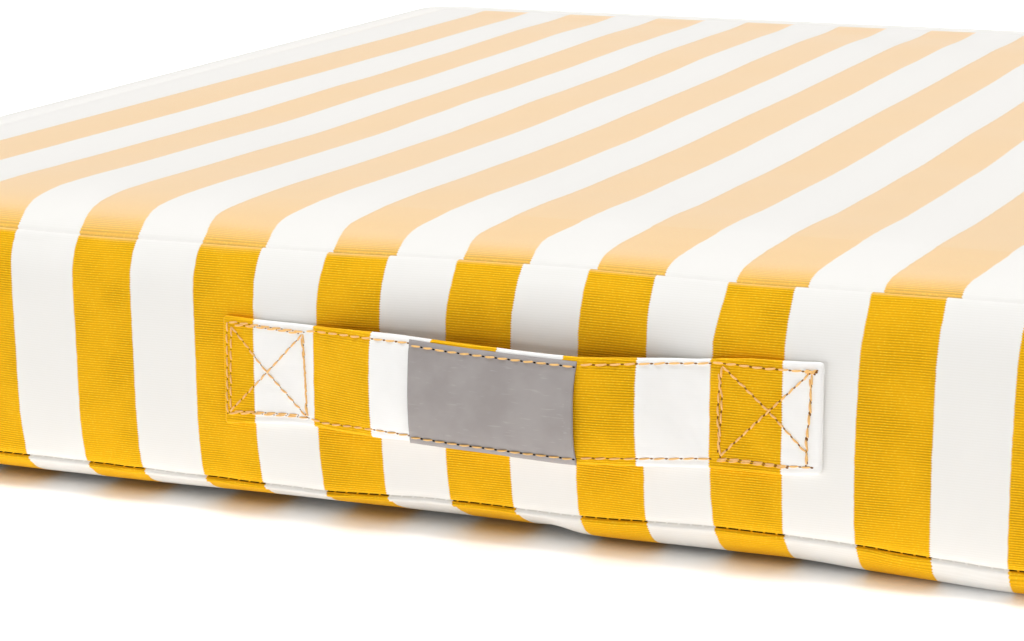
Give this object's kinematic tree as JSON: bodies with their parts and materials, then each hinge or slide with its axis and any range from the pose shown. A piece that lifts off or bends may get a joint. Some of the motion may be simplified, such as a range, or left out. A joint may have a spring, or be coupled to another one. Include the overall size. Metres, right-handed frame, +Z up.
{
  "type": "outdoor seat cushion",
  "caption": "Square box cushion for an outdoor seat, in striped cloth, with a sewn carrying handle on its front edge and a plain grey patch round the handle.",
  "frame": {"origin": "centre of the cushion's flat foot, which lies on the seat", "axes": "+Z up, -Y towards the front band that carries the handle, +X to the right as seen from the front"},
  "size_m": [0.65, 0.6644, 0.1017],
  "materials": {
    "striped_cloth": "ribbed weave in yellow and white stripes",
    "handle_cloth": "ribbed weave in yellow and white stripes",
    "label_grey": "smooth matte, warm grey"
  },
  "bodies": {
    "root": {"cushion": "striped_cloth", "handle_strap": "handle_cloth", "label_patch": "label_grey"}
  },
  "joints": []
}
